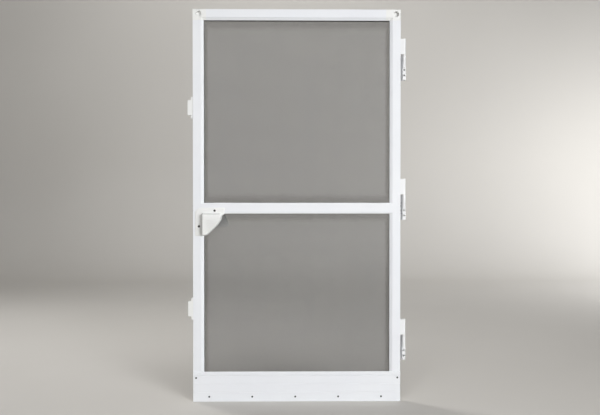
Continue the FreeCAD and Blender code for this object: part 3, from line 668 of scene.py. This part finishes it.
def painted(name, base, shade, peel_scale, peel, rough_low, rough_high):
    """Powder coat: a nearly even white with orange peel and faint handling marks, and painted
    shade on the inner walls round the screens.
    """
    graph = Graph(name)
    tint = graph.ramp(graph.noise(2.5, 3), [(0.35, base), (0.65, shade)])
    speck = graph.ramp(graph.noise(900, 2), [(0.3, 0.96), (0.7, 1.0)])
    colour = paint_wall_shade(graph, graph.mix(1.0, tint, speck, "MULTIPLY"))
    marks = graph.noise(14, 6, 0.65)
    roughness = graph.ramp(marks, [(0.35, rough_low), (0.7, rough_high)])
    normal = graph.bump(graph.noise(peel_scale, 2), peel)
    return graph.finish(colour, roughness, normal, Coat_Weight=0.04, Coat_Roughness=0.35)


def moulded(name, base, shade):
    """Fine spark-eroded plastic, with painted shade where it lies on the inner walls round the
    screens.
    """
    graph = Graph(name)
    tint = graph.ramp(graph.noise(9, 4), [(0.35, base), (0.68, shade)])
    roughness = graph.ramp(graph.noise(40, 4), [(0.3, 0.42), (0.7, 0.55)])
    normal = graph.bump(graph.noise(2200, 3, 0.6), 0.03 * MM)
    return graph.finish(paint_wall_shade(graph, tint), roughness, normal)


def metal(name, dark, light, scale, stretch, rough_low, rough_high, relief):
    """Bare or plated metal with brushing or mottling."""
    graph = Graph(name)
    grain = graph.noise(scale, 4, 0.6, stretch)
    colour = graph.ramp(grain, [(0.3, dark), (0.7, light)])
    roughness = graph.ramp(graph.noise(60, 4), [(0.3, rough_low), (0.7, rough_high)])
    normal = graph.bump(grain, relief)
    return graph.finish(colour, roughness, normal, Metallic=1.0)


def cloth(node):
    """Vinyl-coated yarn: dark grey, a little uneven along each yarn, dusty in patches, and
    darkened along the edges of its opening by painted shade, most along its top and bottom."""
    low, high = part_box(node)
    graph = Graph(node + "_cloth")
    yarn = graph.ramp(graph.noise(420, 3),
                      [(0.3, (0.145, 0.145, 0.147)), (0.7, (0.185, 0.184, 0.18))])
    dust = graph.ramp(graph.noise(5, 5, 0.6), [(0.35, 0.0), (0.75, 0.25)])
    colour = graph.mix(dust, yarn, (0.19, 0.178, 0.16))
    split = graph.add("ShaderNodeSeparateXYZ")
    graph.join(graph.place, split.inputs["Vector"])

    def inwards(axis):
        """How far a point of the visible cloth is from its nearer edge along an axis."""
        first = getattr(low, axis.lower()) + CLOTH_HIDDEN
        last = getattr(high, axis.lower()) - CLOTH_HIDDEN
        return graph.math("MINIMUM", graph.math("SUBTRACT", split.outputs[axis], first),
                          graph.math("SUBTRACT", last, split.outputs[axis]))

    sides, ends = inwards("X"), graph.math("DIVIDE", inwards("Z"), EDGE_SHADE_SPREAD)
    wander = graph.math("MULTIPLY", graph.noise(22, 4, 0.6), EDGE_SHADE_WIDTH)
    distance = graph.math("DIVIDE", graph.math("MINIMUM", sides, ends),
                          graph.math("ADD", wander, EDGE_SHADE_WIDTH / 2))
    # painted shade: the cloth's colour darkens towards the frame's edges
    colour = graph.mix(1.0, colour, graph.ramp(distance, EDGE_SHADE_STOPS), "MULTIPLY")
    roughness = graph.ramp(graph.noise(250, 2), [(0.3, 0.5), (0.7, 0.7)])
    normal = graph.bump(graph.noise(1500, 2), 0.05 * MM)
    return graph.finish(colour, roughness, normal)


def vinyl():
    """Soft grey vinyl of the spline cords."""
    graph = Graph("vinyl_grey")
    tint = graph.ramp(graph.noise(30, 4),
                      [(0.3, (0.085, 0.085, 0.09)), (0.7, (0.13, 0.13, 0.135))])
    roughness = graph.ramp(graph.noise(120, 3), [(0.3, 0.5), (0.7, 0.68)])
    normal = graph.bump(graph.noise(1800, 2), 0.04 * MM)
    return graph.finish(tint, roughness, normal)


def ferrite():
    """Sintered magnet, nearly black and grainy."""
    graph = Graph("magnet_ferrite")
    tint = graph.ramp(graph.noise(700, 4, 0.7), [(0.3, 0.018), (0.7, 0.045)])
    roughness = graph.ramp(graph.noise(300, 3), [(0.3, 0.6), (0.7, 0.8)])
    normal = graph.bump(graph.noise(1400, 4, 0.7), 0.06 * MM)
    return graph.finish(tint, roughness, normal)


def nylon():
    """Natural nylon of the bushes and washers, slightly translucent."""
    graph = Graph("bearing_nylon")
    tint = graph.ramp(graph.noise(120, 3),
                      [(0.3, (0.72, 0.69, 0.6)), (0.7, (0.78, 0.76, 0.68))])
    roughness = graph.ramp(graph.noise(200, 2), [(0.3, 0.35), (0.7, 0.5)])
    normal = graph.bump(graph.noise(900, 2), 0.02 * MM)
    return graph.finish(tint, roughness, normal, Subsurface_Weight=0.1)


MATERIALS = {
    "powder_coat_white": painted("powder_coat_white", (0.79, 0.80, 0.83), (0.82, 0.83, 0.85),
                                 520, 0.04 * MM, 0.6, 0.7),
    "hinge_white": painted("hinge_white", (0.80, 0.805, 0.81), (0.83, 0.83, 0.835),
                           900, 0.03 * MM, 0.44, 0.54),
    "moulded_white": moulded("moulded_white", (0.82, 0.82, 0.80), (0.80, 0.80, 0.785)),
    "vinyl_grey": vinyl(),
    "screw_steel": metal("screw_steel", (0.03, 0.03, 0.03), (0.07, 0.067, 0.06), 900, None,
                         0.4, 0.55, 0.02 * MM),
    "plain_steel": metal("plain_steel", (0.42, 0.42, 0.42), (0.55, 0.55, 0.55), 300,
                         (1, 1, 12), 0.25, 0.4, 0.01 * MM),
    "spring_steel": metal("spring_steel", (0.28, 0.27, 0.26), (0.4, 0.39, 0.38), 1200, None,
                          0.3, 0.45, 0.01 * MM),
    "magnet_ferrite": ferrite(),
    "bearing_nylon": nylon(),
}


def paint_nodes():
    """Gives every node of the CAD model its slot's material; each screen has its own cloth."""
    for row in frame["record"]["subparts"]:
        mesh = NODES[row["node"]].data
        mesh.materials.clear()
        slot = row["material_slot"]
        mesh.materials.append(MATERIALS[slot] if slot in MATERIALS else cloth(row["node"]))


# Stage, camera and light


def stage():
    """A plain pale floor that curves up into a plain wall well behind the leaf."""
    floor_z = cad_low.z - FLOOR_DROP
    profile = [(STAGE_FRONT, floor_z), (WALL_DISTANCE - SWEEP_RADIUS, floor_z)]
    for i in range(1, SWEEP_STEPS + 1):
        angle = math.pi / 2 * i / SWEEP_STEPS
        profile.append((WALL_DISTANCE - SWEEP_RADIUS + SWEEP_RADIUS * math.sin(angle),
                        floor_z + SWEEP_RADIUS * (1 - math.cos(angle))))
    profile.append((WALL_DISTANCE, floor_z + WALL_HEIGHT))
    points = [(x, y, z) for y, z in profile for x in (-STAGE_HALF_WIDTH, STAGE_HALF_WIDTH)]
    faces = [(2 * i, 2 * i + 1, 2 * i + 3, 2 * i + 2) for i in range(len(profile) - 1)]
    item = mesh_object("floor_and_wall", points, faces)
    smooth(item)
    graph = Graph("stage_paint")
    tint = graph.ramp(graph.noise(0.35, 2),
                      [(0.3, (0.60, 0.578, 0.545)), (0.7, (0.63, 0.608, 0.575))])
    roughness = graph.ramp(graph.noise(3, 2), [(0.3, 0.8), (0.7, 0.9)])
    normal = graph.bump(graph.noise(300, 2), 0.05 * MM)
    item.data.materials.append(graph.finish(tint, roughness, normal))


def camera():
    data = bpy.data.cameras.new("camera")
    data.lens = CAMERA_LENS
    data.sensor_width = SENSOR_WIDTH
    item = bpy.data.objects.new("camera", data)
    item.location = CAMERA_PLACE
    item.rotation_mode = "YXZ"
    item.rotation_euler = (math.pi / 2 + CAMERA_PITCH, 0, CAMERA_YAW)
    bpy.context.scene.collection.objects.link(item)
    bpy.context.scene.camera = item


def area_light(name, place, target, size, power, colour, spread=180):
    """A rectangular light that points at a target. spread is its beam's angle in degrees."""
    data = bpy.data.lights.new(name, "AREA")
    data.shape = "RECTANGLE"
    data.size, data.size_y = size
    data.energy = power
    data.color = colour
    data.spread = math.radians(spread)
    item = bpy.data.objects.new(name, data)
    item.location = place
    item.rotation_euler = (Vector(target) - Vector(place)).to_track_quat("-Z", "Y").to_euler()
    item.visible_camera = False
    bpy.context.scene.collection.objects.link(item)


def lights():
    """A key light at the front right, a weaker fill at the front left, a wide one overhead, two
    aimed at the wall, and one behind the leaf."""
    middle = (cad_low + cad_high) / 2
    area_light("key", (4.9, -6.9, 1.9), middle, (3.2, 2.0), 82, COOL_LIGHT, 70)
    area_light("fill", (-3.6, -7.4, 3.0), middle, (4.0, 2.4), 19, (0.98, 0.99, 1.0), 70)
    area_light("ceiling", (0.5, -2.9, 8.6), middle, (4.6, 2.0), 200, COOL_LIGHT)
    area_light("wall_wash", (5.6, 2.6, 1.4), (4.1, WALL_DISTANCE, 0.9), (2.0, 2.0), 150,
               COOL_LIGHT)
    area_light("wall_top", (-0.6, 3.6, 6.6), (-1.0, WALL_DISTANCE, 4.2), (4.0, 0.8), 75,
               (1.0, 0.995, 0.98))
    area_light("back", (-5.6, 4.2, 2.6), middle, (2.0, 2.0), 34, (1.0, 0.985, 0.96), 50)
    world = bpy.data.worlds.new("room")
    world.use_nodes = True
    background = world.node_tree.nodes["Background"]
    background.inputs["Color"].default_value = (1.0, 0.975, 0.94, 1)
    background.inputs["Strength"].default_value = 0.13
    bpy.context.scene.world = world
    bpy.context.scene.view_settings.view_transform = "Standard"


paint_nodes()
for screen_node in ("upper_screen", "lower_screen"):
    woven_screen(screen_node)
    spline(screen_node + "_spline")
pull("front_pull", -1, FRONT_RIM, FRONT_HOOD, FRONT_SLOPES, FRONT_CORNERS)
pull("rear_pull", 1, REAR_RIM, REAR_HOOD, REAR_SLOPES, REAR_CORNERS)
stage()
camera()
lights()
